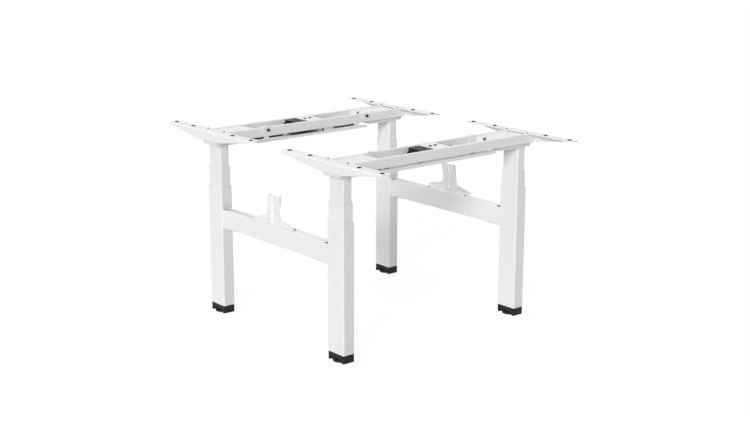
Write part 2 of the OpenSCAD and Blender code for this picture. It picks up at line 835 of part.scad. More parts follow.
// Hanger on the inboard side: a strap up to the rail and its flange under the rail
module tray_hanger_section() {
    translate([-tray_side, tray_bottom]) square([tray_sheet, tray_depth]);
    translate([-tray_side, pan_top - tray_sheet]) square([tray_side - rail_inner_face, tray_sheet]);
}

module cable_tray(row) {
    color("gainsboro") on_desk(row) translate([tray_middle, 0, 0]) difference() {
        union() {
            along_x(tray_length) tray_section();
            for (share = tray_hanger_shares)
                translate([share * tray_length / 2, 0, 0]) along_x(tray_hanger) tray_hanger_section();
        }
        for (share = tray_window_shares)
            translate([share * tray_length / 2, tray_strip, pan_top - tray_step_height / 2 - tray_sheet / 2])
                cube([tray_window, 2 * tray_step, tray_step_height - tray_sheet - tray_window_margin],
                     center = true);
    }
}

module centre_plate(row) {
    color("whitesmoke") on_desk(row) difference() {
        translate([centre_plate_middle - centre_plate_length / 2, -rail_inner_face,
                   centre_plate_top - centre_plate_sheet])
            cube([centre_plate_length, 2 * rail_inner_face, centre_plate_sheet]);
        control_screw_places() translate([0, 0, centre_plate_top - centre_plate_sheet - overrun])
            cylinder(h = centre_plate_sheet + 2 * overrun, d = small_screw_d + 2 * screw_clearance);
    }
}

module control_box(row) {
    color("dimgray") on_desk(row) difference() {
        translate([control_middle, 0, control_top - control_height]) linear_extrude(control_height)
            rounded_rect(control_length, control_width, control_r);
        control_screw_places() translate([0, 0, control_top - control_screw_depth])
            cylinder(h = control_screw_depth + overrun, d = small_screw_d + 2 * screw_clearance);
        // Sockets in the left end
        for (j = [-1, 0, 1])
            translate([control_middle - control_length / 2, j * socket_pitch, control_top - socket_drop])
                cube([2 * socket_depth, socket_width, socket_height], center = true);
        // Cooling ribs pressed into both sides
        for (i = [-1, 1], j = [0 : rib_count - 1])
            translate([control_middle + (j - (rib_count - 1) / 2) * rib_pitch, i * control_width / 2,
                       control_top - control_height / 2])
                cube([rib_width, 2 * rib_depth, control_height / 2], center = true);
    }
}

// Point on the smooth curve from b to c, at a share t of the way
function curve_point(a, b, c, d, t) =
    (2 * b + (c - a) * t + (2 * a - 5 * b + 4 * c - d) * t * t + (3 * b - a - 3 * c + d) * t * t * t) / 2;

function smooth_route(route) = let (last = len(route) - 1) concat(
    [for (i = [0 : last - 1], s = [0 : cable_steps - 1])
        curve_point(route[max(i - 1, 0)], route[i], route[i + 1], route[min(i + 2, last)], s / cable_steps)],
    [route[last]]
);

function unit(v) = v / norm(v);

// A cable swept through a route: one ring of points square to the path at each place
module cable(route) {
    path = smooth_route(route);
    last = len(path) - 1;
    rings = [for (i = [0 : last]) let (
        along = unit(path[min(i + 1, last)] - path[max(i - 1, 0)]),
        side = unit(cross(along, [0, 1, 0])),
        up = cross(side, along)
    ) for (s = [0 : cable_sides - 1]) let (turn = 360 * s / cable_sides)
        path[i] + cable_diameter / 2 * (cos(turn) * side + sin(turn) * up)];
    walls = [for (i = [0 : last - 1], s = [0 : cable_sides - 1]) let (
        a = i * cable_sides + s,
        b = i * cable_sides + (s + 1) % cable_sides
    ) [a, b, b + cable_sides, a + cable_sides]];
    first_cap = [for (s = [cable_sides - 1 : -1 : 0]) s];
    last_cap = [for (s = [0 : cable_sides - 1]) last * cable_sides + s];
    translate([0, 0, pan_top]) polyhedron(rings, concat([first_cap], walls, [last_cap]));
}

// A plug that fills a socket of the control box
module plug(place) {
    inner = control_length / 2 - socket_depth;
    translate([control_middle - inner - plug_length / 2, place * socket_pitch, control_top - socket_drop])
        cube([plug_length, socket_width - 2 * plug_clearance, socket_height - 2 * plug_clearance],
             center = true);
}

module cables(row) {
    color("dimgray") on_desk(row) {
        cable(left_cable_route);
        cable(right_cable_route);
        plug(-1);
        plug(1);
    }
}

// Clips that hook over the inboard rail

module rail_clips(row) {
    color("whitesmoke") on_desk(row) for (x = clip_places(row)) difference() {
        translate([x, 0, rail_top + clip_sheet]) along_x(clip_width) {
            translate([-rail_face - clip_sheet, -clip_sheet]) square([rail_width + 2 * clip_sheet, clip_sheet]);
            translate([-rail_face - clip_sheet, -clip_outer_leg]) square([clip_sheet, clip_outer_leg]);
            translate([-rail_inner_face, -clip_inner_leg]) square([clip_sheet, clip_inner_leg]);
        }
        translate([x + clip_screw_offset, -rail_face + overrun, rail_top - clip_screw_drop])
            rotate([90, 0, 0])
                cylinder(h = clip_sheet + 2 * overrun, d = small_screw_d + 2 * screw_clearance);
    }
}

module clip_screws(row) {
    color("dimgray") on_desk(row) for (x = clip_places(row))
        translate([x + clip_screw_offset, -rail_face - clip_sheet, rail_top - clip_screw_drop])
            rotate([90, 0, 0]) screw(small_screw_d, clip_screw_length, clip_knob, clip_knob_depth);
}

outer_tube(rear, left);  // outer_tube_rear_left
outer_tube(front, left);  // outer_tube_front_left
outer_tube(rear, right);  // outer_tube_rear_right
outer_tube(front, right);  // outer_tube_front_right
foot_caps(left);  // foot_caps_left
foot_caps(right);  // foot_caps_right
side_beam(left);  // side_beam_left
side_beam(right);  // side_beam_right
screen_bracket(left);  // screen_bracket_left
screen_bracket(right);  // screen_bracket_right
base_screws(left);  // base_screws_left
base_screws(right);  // base_screws_right
outer_guides(left);  // outer_guides_left
outer_guides(right);  // outer_guides_right
glide(rear, left);  // glide_rear_left
glide(front, left);  // glide_front_left
glide(rear, right);  // glide_rear_right
glide(front, right);  // glide_front_right
middle_tube(rear, left);  // middle_tube_rear_left
middle_tube(front, left);  // middle_tube_front_left
middle_tube(rear, right);  // middle_tube_rear_right
middle_tube(front, right);  // middle_tube_front_right
middle_guides(rear, left);  // middle_guides_rear_left
middle_guides(front, left);  // middle_guides_front_left
middle_guides(rear, right);  // middle_guides_rear_right
middle_guides(front, right);  // middle_guides_front_right
inner_tube(rear, left);  // inner_tube_rear_left
inner_tube(rear, right);  // inner_tube_rear_right
drive_heads(rear);  // drive_heads_rear
drive_motors(rear);  // drive_motors_rear
end_boxes(rear);  // end_boxes_rear
side_bracket(rear, left);  // side_bracket_rear_left
side_bracket(rear, right);  // side_bracket_rear_right
rail(rear, inboard);  // inboard_rail_rear
rail(rear, outboard);  // outboard_rail_rear
rubber_pads(rear);  // rubber_pads_rear
top_screws(rear);  // top_screws_rear
cable_tray(rear);  // cable_tray_rear
control_box(rear);  // control_box_rear
centre_plate(rear);  // centre_plate_rear
cables(rear);  // cables_rear
rail_clips(rear);  // rail_clips_rear
clip_screws(rear);  // clip_screws_rear
inner_tube(front, left);  // inner_tube_front_left
inner_tube(front, right);  // inner_tube_front_right
drive_heads(front);  // drive_heads_front
drive_motors(front);  // drive_motors_front
end_boxes(front);  // end_boxes_front
side_bracket(front, left);  // side_bracket_front_left
side_bracket(front, right);  // side_bracket_front_right
rail(front, inboard);  // inboard_rail_front
rail(front, outboard);  // outboard_rail_front
rubber_pads(front);  // rubber_pads_front
top_screws(front);  // top_screws_front
cable_tray(front);  // cable_tray_front
control_box(front);  // control_box_front
centre_plate(front);  // centre_plate_front
cables(front);  // cables_front
rail_clips(front);  // rail_clips_front
clip_screws(front);  // clip_screws_front
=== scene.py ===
"""Finishes and fine pieces of the frame for two face-to-face electric desks.

Lengths are in metres. X runs along the rails, Y from the front desk to the rear desk, Z up, and the floor is
at zero. The left side is -1 and the right side +1, the front desk -1 and the rear desk +1.
"""
import math

import bpy
import numpy as np
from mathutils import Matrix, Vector


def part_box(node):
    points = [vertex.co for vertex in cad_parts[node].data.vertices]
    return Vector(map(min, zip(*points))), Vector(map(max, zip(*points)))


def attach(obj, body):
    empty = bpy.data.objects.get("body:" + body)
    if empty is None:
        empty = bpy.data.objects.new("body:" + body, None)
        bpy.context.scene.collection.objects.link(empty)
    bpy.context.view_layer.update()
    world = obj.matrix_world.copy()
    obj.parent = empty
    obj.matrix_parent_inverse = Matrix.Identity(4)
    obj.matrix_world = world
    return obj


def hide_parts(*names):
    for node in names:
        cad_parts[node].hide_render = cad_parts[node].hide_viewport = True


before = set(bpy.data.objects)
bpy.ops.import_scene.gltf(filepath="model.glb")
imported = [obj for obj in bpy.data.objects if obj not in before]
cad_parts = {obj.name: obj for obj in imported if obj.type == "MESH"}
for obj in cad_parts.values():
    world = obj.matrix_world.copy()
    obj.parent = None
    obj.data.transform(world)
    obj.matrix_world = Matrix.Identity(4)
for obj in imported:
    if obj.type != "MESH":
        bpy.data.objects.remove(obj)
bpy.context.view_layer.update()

MM = 0.001
SIDES = {"left": -1, "right": 1}
DESKS = {"rear": 1, "front": -1}

# Camera, fitted to the corners of the frame
PHOTO_WIDTH, PHOTO_HEIGHT = 750, 423
FOCAL_PIXELS = 1354.4
AXIS_PIXEL_X, AXIS_PIXEL_Y = 365.3, 228.2
CAMERA_PLACE = (-3.281, -3.944, 1.677)
CAMERA_AZIMUTH = -39.72
CAMERA_TILT = 14.6
SENSOR_WIDTH = 36.0


def make_camera():
    """Places the camera. The shift moves the optical axis to its fitted pixel."""
    data = bpy.data.cameras.new("photo_camera")
    data.sensor_fit = "HORIZONTAL"
    data.sensor_width = SENSOR_WIDTH
    data.lens = SENSOR_WIDTH * FOCAL_PIXELS / PHOTO_WIDTH
    data.shift_x = (PHOTO_WIDTH / 2 - AXIS_PIXEL_X) / PHOTO_WIDTH
    data.shift_y = (AXIS_PIXEL_Y - PHOTO_HEIGHT / 2) / PHOTO_WIDTH
    camera = bpy.data.objects.new("photo_camera", data)
    camera.location = CAMERA_PLACE
    camera.rotation_euler = (math.radians(90 - CAMERA_TILT), 0, math.radians(CAMERA_AZIMUTH))
    bpy.context.scene.collection.objects.link(camera)
    bpy.context.scene.camera = camera


make_camera()


# Node materials

# Middle stretch of a noise, which is spread over the whole range of what it drives
NOISE_LOW, NOISE_HIGH = 0.3, 0.7


class Shader:
    """A material under construction: its tree, its Principled shader and its Object coordinates."""

    def __init__(self, name, colour, roughness, metallic=0.0):
        self.material = bpy.data.materials.new(name)
        self.material.use_nodes = True
        self.tree = self.material.node_tree
        self.shader = self.tree.nodes["Principled BSDF"]
        self.shader.inputs["Base Color"].default_value = (*colour, 1)
        self.shader.inputs["Roughness"].default_value = roughness
        self.shader.inputs["Metallic"].default_value = metallic
        self.material.diffuse_color = (*colour, 1)
        self.place = self.node("ShaderNodeTexCoord").outputs["Object"]

    def node(self, kind, **settings):
        """Adds a node and sets its plain properties."""
        made = self.tree.nodes.new(kind)
        for key, value in settings.items():
            setattr(made, key, value)
        return made

    def link(self, source, target):
        self.tree.links.new(source, target)

    def noise(self, size, detail=3.0, stretch=None):
        """Noise whose features are about size metres across, stretched along an axis where asked."""
        texture = self.node("ShaderNodeTexNoise")
        texture.inputs["Scale"].default_value = 1 / size
        texture.inputs["Detail"].default_value = detail
        place = self.place
        if stretch:
            mapping = self.node("ShaderNodeMapping")
            mapping.inputs["Scale"].default_value = stretch
            self.link(place, mapping.inputs["Vector"])
            place = mapping.outputs["Vector"]
        self.link(place, texture.inputs["Vector"])
        return texture.outputs["Fac"]

    def spread(self, value, low, high):
        """Maps the middle of a noise to the range from low to high."""
        spread = self.node("ShaderNodeMapRange")
        spread.inputs["From Min"].default_value = NOISE_LOW
        spread.inputs["From Max"].default_value = NOISE_HIGH
        spread.inputs["To Min"].default_value = low
        spread.inputs["To Max"].default_value = high
        self.link(value, spread.inputs["Value"])
        return spread.outputs["Result"]

    def tint(self, value, dark, light):
        """Colours the surface between two shades."""
        ramp = self.node("ShaderNodeValToRGB")
        ramp.color_ramp.elements[0].position = NOISE_LOW
        ramp.color_ramp.elements[1].position = NOISE_HIGH
        ramp.color_ramp.elements[0].color = (*dark, 1)
        ramp.color_ramp.elements[1].color = (*light, 1)
        self.link(value, ramp.inputs["Fac"])
        self.link(ramp.outputs["Color"], self.shader.inputs["Base Color"])

    def bump(self, heights, edge=0.0):
        """Stacks bumps of (height value, depth in metres), over edges rounded by a radius."""
        normal = None
        if edge:
            bevel = self.node("ShaderNodeBevel", samples=8)
            bevel.inputs["Radius"].default_value = edge
            normal = bevel.outputs["Normal"]
        for value, depth in heights:
            bump = self.node("ShaderNodeBump")
            bump.inputs["Distance"].default_value = depth
            self.link(value, bump.inputs["Height"])
            if normal:
                self.link(normal, bump.inputs["Normal"])
            normal = bump.outputs["Normal"]
        self.link(normal, self.shader.inputs["Normal"])


def shaded(colour, share):
    return tuple(share * part for part in colour)


COAT_GLOSS = 0.42
BLACK_GLOSS = 0.16


def powder_coat(name, colour):
    """White powder coat: a fine orange-peel skin, a faint drift of tone and soft folded edges."""
    coat = Shader(name, colour, 0.46)
    coat.shader.inputs["Specular IOR Level"].default_value = COAT_GLOSS
    coat.tint(coat.noise(0.35, 2), shaded(colour, 0.985), colour)
    coat.link(coat.spread(coat.noise(0.05), 0.40, 0.50), coat.shader.inputs["Roughness"])
    coat.bump([(coat.noise(0.0011, 2), 0.000025), (coat.noise(0.012, 1), 0.00006)], edge=0.0007)
    return coat.material


def moulded_plastic(name, colour, grain=0.0004, roughness=0.5):
    """Moulded plastic with a fine spark-eroded grain."""
    plastic = Shader(name, colour, roughness)
    plastic.shader.inputs["Specular IOR Level"].default_value = BLACK_GLOSS
    plastic.tint(plastic.noise(0.02), shaded(colour, 0.8), shaded(colour, 1.3))
    plastic.link(plastic.spread(plastic.noise(0.008), roughness - 0.06, roughness + 0.08),
                 plastic.shader.inputs["Roughness"])
    plastic.bump([(plastic.noise(grain, 2), 0.00003)], edge=0.0006)
    return plastic.material


def rubber(name, colour):
    """Matt black rubber, slightly uneven."""
    skin = Shader(name, colour, 0.75)
    skin.shader.inputs["Specular IOR Level"].default_value = BLACK_GLOSS
    skin.tint(skin.noise(0.006), shaded(colour, 0.75), shaded(colour, 1.4))
    skin.link(skin.spread(skin.noise(0.003), 0.62, 0.85), skin.shader.inputs["Roughness"])
    skin.bump([(skin.noise(0.0009, 3), 0.00004)], edge=0.0004)
    return skin.material


DRAWN_LINES = (1, 1, 30)


def steel(name, colour, roughness):
    """Plain or plated steel with fine drawn lines along one axis."""
    metal = Shader(name, colour, roughness, metallic=1.0)
    lines = metal.noise(0.004, 4, stretch=DRAWN_LINES)
    metal.link(metal.spread(lines, roughness - 0.08, roughness + 0.10), metal.shader.inputs["Roughness"])
    metal.tint(metal.noise(0.015), shaded(colour, 0.85), colour)
    metal.bump([(lines, 0.00001)], edge=0.0003)
    return metal.material


white_coat = powder_coat("white_powder_coat", (0.84, 0.84, 0.84))
tube_coat = powder_coat("white_tube_coat", (0.835, 0.835, 0.838))
black_plastic = moulded_plastic("black_foot_plastic", (0.016, 0.016, 0.018))
box_plastic = moulded_plastic("black_control_box_plastic", (0.011, 0.011, 0.012), grain=0.0007)
knob_plastic = moulded_plastic("black_knob_plastic", (0.025, 0.025, 0.027), roughness=0.38)
guide_plastic = moulded_plastic("white_guide_plastic", (0.80, 0.80, 0.77), roughness=0.35)
pad_rubber = rubber("black_pad_rubber", (0.018, 0.018, 0.019))
cable_rubber = rubber("black_cable_sheath", (0.014, 0.014, 0.015))
black_steel = moulded_plastic("black_oxide_screws", (0.012, 0.012, 0.013), roughness=0.55)
zinc_steel = steel("zinc_plated_steel", (0.62, 0.63, 0.65), 0.32)

# Finish of the CAD nodes, by the start of their names
FINISHES = {
    "outer_tube": tube_coat, "middle_tube": tube_coat, "inner_tube": tube_coat,
    "foot_caps": black_plastic, "glide": black_plastic,
    "side_beam": white_coat, "screen_bracket": white_coat, "drive_heads": white_coat,
    "end_boxes": white_coat, "side_bracket": white_coat, "inboard_rail": white_coat,
    "outboard_rail": white_coat,
    "cable_tray": white_coat, "centre_plate": white_coat, "rail_clips": white_coat,
    "outer_guides": guide_plastic, "middle_guides": guide_plastic,
    "base_screws": black_steel, "top_screws": black_steel, "drive_motors": zinc_steel,
    "rubber_pads": pad_rubber, "control_box": box_plastic, "cables": cable_rubber,
    "clip_screws": knob_plastic,
}


def finish_of(node):
    """The finish of a node, by the start of its name."""
    return next(finish for start, finish in FINISHES.items() if node.startswith(start))


for node_name, node_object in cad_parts.items():
    node_object.data.materials.clear()
    node_object.data.materials.append(finish_of(node_name))


# Mesh building


def grid_faces(rows, columns, wraps=False):
    """Quads of a grid whose columns close on themselves, and whose rows do too where it wraps."""
    spans = rows if wraps else rows - 1
    row, column = np.meshgrid(np.arange(spans), np.arange(columns), indexing="ij")
    here, below = row * columns, (row + 1) % rows * columns
    after = (column + 1) % columns
    quads = np.stack([here + column, here + after, below + after, below + column], axis=-1)
    return quads.reshape(-1, 4).tolist()


def capped_surface(rings):
    """Closed surface through rings, an array of (rings, points, 3), with a fan of triangles at each end.

    The rings run up the axis with their points anticlockwise about it, so that the faces look outward.
    """
    count, sides = rings.shape[:2]
    points = np.concatenate([rings.reshape(-1, 3), [rings[0].mean(axis=0), rings[-1].mean(axis=0)]])
    low, high = count * sides, count * sides + 1
    side = np.arange(sides)
    after = (side + 1) % sides
    last = (count - 1) * sides
    fans = [(low, b, a) for a, b in zip(side.tolist(), after.tolist())]
    fans += [(high, last + a, last + b) for a, b in zip(side.tolist(), after.tolist())]
    return points, grid_faces(count, sides) + fans


def angles(sides):
    return np.linspace(0, 2 * math.pi, sides, endpoint=False)


def turned(profile, sides, radius_share=None):
    """Rings of a turned form: (r cos t, r sin t, z) for each (r, z) of the profile.

    radius_share, an array of (rings, sides) or one that fits it, scales r where the form isn't round.
    """
    profile = np.asarray(profile, float)
    turn = angles(sides)
    radius = profile[:, :1] * (np.ones((1, sides)) if radius_share is None else radius_share)
    height = np.broadcast_to(profile[:, 1:], radius.shape)
    return np.stack([radius * np.cos(turn), radius * np.sin(turn), height], axis=-1)


def arc(centre, radius, start, end, steps):
    """Points on an arc in the plane of a profile, with its angles in degrees."""
    turn = np.radians(np.linspace(start, end, steps))
    return [(centre[0] + radius * math.cos(t), centre[1] + radius * math.sin(t)) for t in turn]


def copies(surface, places, turn=None):
    """One surface at several places, each copy turned first by a rotation matrix where one is given."""
    points, faces = surface
    if turn is not None:
        points = points @ np.asarray(turn, float).T
    count = len(points)
    all_points = np.concatenate([points + np.asarray(place, float) for place in places])
    return all_points, [tuple(i + k * count for i in face) for k in range(len(places)) for face in faces]


def joined(surfaces):
    """Several surfaces as one, each kept closed by itself."""
    points, faces, count = [], [], 0
    for some_points, some_faces in surfaces:
        points.append(some_points)
        faces += [tuple(i + count for i in face) for face in some_faces]
        count += len(some_points)
    return np.concatenate(points), faces


def surface_mesh(name, surface):
    points, faces = surface
    mesh = bpy.data.meshes.new(name)
    mesh.from_pydata(points.tolist(), [], faces)
    return mesh


def added_object(name, data):
    """Adds an object made of a mesh, a lamp or the like."""
    made = bpy.data.objects.new(name, data)
    bpy.context.scene.collection.objects.link(made)
    return made


def finish_piece(name, mesh, finish, body, nodes, sharp):
    """Shades a mesh smooth but for edges sharper than an angle, and ties it to the frame."""
    mesh.polygons.foreach_set("use_smooth", np.ones(len(mesh.polygons), bool))
    mesh.set_sharp_from_angle(angle=math.radians(sharp))
    mesh.materials.clear()
    mesh.materials.append(finish)
    piece = added_object(name, mesh)
    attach(piece, body)
    if nodes:
        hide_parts(*nodes)


def make_piece(name, surface, finish, body, nodes=(), sharp=40):
    """Adds a piece made of a surface."""
    finish_piece(name, surface_mesh(name, surface), finish, body, nodes, sharp)


def corners_of(mesh):
    """The corners of a mesh, as an array of (corners, 3)."""
    corners = np.empty(len(mesh.vertices) * 3, np.float32)
    mesh.vertices.foreach_get("co", corners)
    return corners.reshape(-1, 3)


def solids_of(node):
    """Low and high corner of each separate solid of a CAD node.

    Every corner starts with its own label, and the lowest one spreads over the triangles that share corners.
    """
    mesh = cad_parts[node].data
    corners = corners_of(mesh).astype(float)
    merged = np.unique(np.round(corners, 5), axis=0, return_inverse=True)[1].reshape(-1)
    mesh.calc_loop_triangles()
    triangles = np.empty(len(mesh.loop_triangles) * 3, np.int32)
    mesh.loop_triangles.foreach_get("vertices", triangles)
    triangles = merged[triangles.reshape(-1, 3)]
    label = np.arange(merged.max() + 1)
    while True:
        spread = label.copy()
        np.minimum.at(spread, triangles, label[triangles].min(axis=1, keepdims=True))
        if (spread == label).all():
            break
        label = spread
    groups = [corners[label[merged] == own] for own in np.unique(label)]
    return [(group.min(axis=0), group.max(axis=0)) for group in groups]


def foot_of(low, high):
    """Middle of a box's underside."""
    return ((low[0] + high[0]) / 2, (low[1] + high[1]) / 2, low[2])


# Turned pieces: pads, screws, glides and knobs

PAD_EDGE = 0.6 * MM
PAD_HOLE = 6.5 * MM
PAD_DISH = 0.25 * MM
CHAMFER = 0.3 * MM
SIDES_FINE = 48


def pad_surface(width, height):
    """Rubber washer, from zero up: a rounded outer edge, a shallow dish and a hole with a soft rim."""
    radius, hole, dish = width / 2, PAD_HOLE / 2, height - PAD_DISH
    profile = [(hole, 0), (radius - CHAMFER, 0), (radius, CHAMFER)]
    profile += arc((radius - PAD_EDGE, height - PAD_EDGE), PAD_EDGE, 0, 90, 5)
    profile += [(0.75 * radius, height - 0.4 * PAD_DISH), (0.6 * radius, dish), (hole + PAD_EDGE, dish),
                (hole + 0.15 * MM, dish - 0.2 * MM), (hole, dish - 0.6 * MM)]
    rings = turned(profile, SIDES_FINE)
    return rings.reshape(-1, 3), grid_faces(len(profile), SIDES_FINE, wraps=True)


def make_pads(desk):
    boxes = solids_of("rubber_pads_" + desk)
    low, high = boxes[0]
    pad = pad_surface(high[0] - low[0], high[2] - low[2])
    make_piece("pads_" + desk, copies(pad, [foot_of(*box) for box in boxes]), pad_rubber, desk + "_top",
               ["rubber_pads_" + desk])


# Height of each screw's head and width of its shank, by the head's width in millimetres
HEAD_HEIGHTS = {14: 4.4 * MM, 12: 3.3 * MM, 9: 1.8 * MM}
SHANK_WIDTHS = {14: 8.0 * MM, 12: 4.8 * MM, 9: 4.8 * MM}
SOCKET_SHARE = 0.46
SOCKET_DEPTH_SHARE = 0.55
DOME_FOOT_SHARE = 0.25
THREAD_PITCH = 0.8 * MM
THREAD_DEPTH = 0.35 * MM


def hexagon(sides):
    """Radius of a hexagon by direction, with its flats at one: 1 / cos of the angle from the nearest flat."""
    sector = math.pi / 3
    return 1 / np.cos((angles(sides) + sector / 2) % sector - sector / 2)


def screw_surface(kind, length):
    """Button-head screw that points down, from its tip at zero: thread, domed head and a hexagon socket.

    The thread's radius is R - d |2 f - 1| with f the fraction of z / pitch - t / 2 pi, and the socket's walls
    follow a hexagon that fades into the round dome.
    """
    head_radius, head = kind / 2 * MM, HEAD_HEIGHTS[kind]
    shank = SHANK_WIDTHS[kind] / 2
    under = length - head
    thread_rows = np.arange(THREAD_PITCH, under - THREAD_PITCH, THREAD_PITCH / 4)
    flat = SOCKET_SHARE * head_radius
    floor = length - SOCKET_DEPTH_SHARE * head
    profile = [(shank - THREAD_PITCH, 0)] + [(shank, z) for z in thread_rows] + [(shank, under)]
    threaded = len(profile) - 1
    dome_foot, dome_rim = under + DOME_FOOT_SHARE * head, 1.25 * flat
    profile += [(head_radius - CHAMFER, under), (head_radius, under + CHAMFER), (head_radius, dome_foot)]
    profile += [(head_radius - (head_radius - dome_rim) * (1 - math.cos(a)),
                 dome_foot + (length - dome_foot) * math.sin(a)) for a in np.radians([22, 45, 66, 90])]
    profile += [(flat, length), (flat, length - 0.15 * MM), (flat, floor), (0.3 * flat, floor - 0.1 * head)]
    share = np.ones((len(profile), SIDES_FINE))
    turn = angles(SIDES_FINE) / (2 * math.pi)
    height = np.array([z for _, z in profile])[:, None]
    saw = np.abs(2 * ((height / THREAD_PITCH - turn) % 1) - 1)
    share[1:threaded] = 1 - THREAD_DEPTH / shank * saw[1:threaded]
    share[-4:-1] = hexagon(SIDES_FINE)
    return capped_surface(turned(profile, SIDES_FINE, share))


def make_screws(name, node, body):
    """Screws at the places of a node's solids, each with the head that its width calls for."""
    kinds = {}
    for low, high in solids_of(node):
        kind = round((high[0] - low[0]) / MM)
        length = round(high[2] - low[2], 5)
        kinds.setdefault((kind, length), []).append(foot_of(low, high))
    screws = [copies(screw_surface(*sizes), places) for sizes, places in kinds.items()]
    make_piece(name, joined(screws), black_steel, body, [node], sharp=30)


GLIDE_THICKNESS = 9.5 * MM
GLIDE_STEM = 9.9 * MM
GLIDE_EDGE = 1.6 * MM
GLIDE_RIBS = 36
GLIDE_RIB_DEPTH_SHARE = 0.018
GLIDE_SIDES = 144
STEM_PITCH = 1.5 * MM
STEM_DEPTH_SHARE = 0.16


def glide_surface(width, height):
    """Levelling foot from the floor up: a ribbed rim, a dished top and a threaded stem.

    The rim's radius is R (1 - d (1 + cos n t) / 2), and the thread is cut as the screws' is.
    """
    radius, stem = width / 2, GLIDE_STEM / 2
    profile = [(radius - 2.4 * MM, 0)] + arc((radius - GLIDE_EDGE, GLIDE_EDGE), GLIDE_EDGE, -90, 0, 5)
    ribs_start = len(profile) - 1
    profile += arc((radius - GLIDE_EDGE, GLIDE_THICKNESS - GLIDE_EDGE), GLIDE_EDGE, 0, 90, 5)
    ribs_end = len(profile) - 4
    land, dish = GLIDE_THICKNESS - 0.1 * MM, GLIDE_THICKNESS - 1.2 * MM
    profile += [(0.82 * radius, land), (0.78 * radius, dish), (0.36 * radius, dish), (0.30 * radius, land),
                (stem + 0.6 * MM, GLIDE_THICKNESS), (stem, GLIDE_THICKNESS + 0.4 * MM)]
    stem_start = len(profile)
    rows = np.arange(GLIDE_THICKNESS + 1.0 * MM, height - 1.5 * MM, STEM_PITCH / 5)
    profile += [(stem, z) for z in rows] + [(0.8 * stem, height)]
    share = np.ones((len(profile), GLIDE_SIDES))
    turn = angles(GLIDE_SIDES)
    share[ribs_start:ribs_end] = 1 - GLIDE_RIB_DEPTH_SHARE * (1 + np.cos(GLIDE_RIBS * turn)) / 2
    height_of = np.array([z for _, z in profile])[:, None]
    saw = np.abs(2 * ((height_of / STEM_PITCH - turn / (2 * math.pi)) % 1) - 1)
    share[stem_start:-1] = 1 - STEM_DEPTH_SHARE * saw[stem_start:-1]
    return capped_surface(turned(profile, GLIDE_SIDES, share))


def make_glide(corner):
    low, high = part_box("glide_" + corner)
    glide = copies(glide_surface(high[0] - low[0], high[2] - low[2]), [foot_of(low, high)])
    make_piece("levelling_glide_" + corner, glide, black_plastic, "levelling_foot_" + corner,
               ["glide_" + corner], sharp=35)


KNOB_WIDTH = 12 * MM
KNOB_DEPTH = 6 * MM
KNOB_FLUTES = 12
KNOB_FLUTE_SHARE = 0.10
KNOB_SIDES = 96
KNOB_SHANK = 4.8 * MM


def knob_surface(length):
    """Hand screw that points down, from its tip at zero: a shank, a fluted grip and a dished face.

    The grip's radius is R (1 - d |cos(n t / 2)|^3).
    """
    radius, shank, under = KNOB_WIDTH / 2, KNOB_SHANK / 2, length - KNOB_DEPTH
    profile = [(0.8 * shank, 0), (shank, 0.4 * MM), (shank, under), (0.72 * radius, under),
               (0.80 * radius, under + 1.0 * MM)]
    grip_start = len(profile)
    profile += arc((radius - 0.8 * MM, under + 1.8 * MM), 0.8 * MM, -90, 0, 4)
    profile += arc((radius - 0.9 * MM, length - 0.9 * MM), 0.9 * MM, 0, 90, 5)
    grip_end = len(profile)
    profile += [(0.7 * radius, length), (0.62 * radius, length - 0.5 * MM), (0.3 * radius, length - 0.7 * MM)]
    share = np.ones((len(profile), KNOB_SIDES))
    flutes = np.abs(np.cos(KNOB_FLUTES * angles(KNOB_SIDES) / 2)) ** 3
    share[grip_start:grip_end] = 1 - KNOB_FLUTE_SHARE * flutes
    return capped_surface(turned(profile, KNOB_SIDES, share))


def make_knobs(desk):
    """Knobs on the rail clips. Their screws point along Y into the rail, so each knob's Z turns inboard."""
    sign = DESKS[desk]
    boxes = solids_of("clip_screws_" + desk)
    length = boxes[0][1][1] - boxes[0][0][1]
    tips = [((a[0] + b[0]) / 2, b[1] if sign > 0 else a[1], (a[2] + b[2]) / 2) for a, b in boxes]
    towards = [[sign, 0, 0], [0, 0, -sign], [0, 1, 0]]
    make_piece("clip_knobs_" + desk, copies(knob_surface(length), tips, towards), knob_plastic,
               desk + "_top", ["clip_screws_" + desk], sharp=35)


# Swept pieces: cables, plugs, grommets whose black also paints the shade in the end boxes' holes, and weld
# beads

CABLE_RADIUS = 3.0 * MM
CABLE_SIDES = 20
STEPS_PER_SPAN = 8
# The cables' routes on the rear desk, in millimetres, as in the part: along X, across from the desk's centre
# line away from the other desk, and up from the rails' underside
CABLE_ROUTES = {
    "left": [
        (-85, -20, 22), (-97, -20, 23), (-105, -15, 18), (-109, -9, 5), (-115, -4, -8), (-128, 0, -16.7),
        (-180, 2, -16.7), (-248, 2, -16.7), (-268, 2, -9), (-278, 2, 5), (-284, 2, 15), (-292, 2, 18),
        (-306, 2, 18),
    ],
    "right": [
        (-85, 20, 22), (-97, 20, 24), (-106, 15, 21), (-110, 8, 12), (-108, 3, 0), (-99, -5, -11),
        (-83, -27, -16.7), (-54, -44, -16.7), (-4, -47, -16.7), (38, -45, -16.7), (60, -28, -15),
        (74, -8, -4), (82, -4, 10), (92, -12, 19), (106, -16, 20), (118, -12, 12), (124, -4, 0),
        (134, 0, -11), (150, 0, -16.7), (234, 0, -16.7), (252, 0, -9), (259, 0, 5), (263, 0, 15),
        (272, 0, 18), (306, 0, 18),
    ],
}
CABLE_HOLE_HEIGHT = 18 * MM


def desk_point(desk, x, y, z):
    """A place on a desk: y is away from the other desk from its centre line, z up from the rails' foot."""
    sign = DESKS[desk]
    inner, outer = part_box("inboard_rail_" + desk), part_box("outboard_rail_" + desk)
    centre = (inner[0][1] + inner[1][1] + outer[0][1] + outer[1][1]) / 4
    return (x, centre + sign * y, inner[0][2] + z)


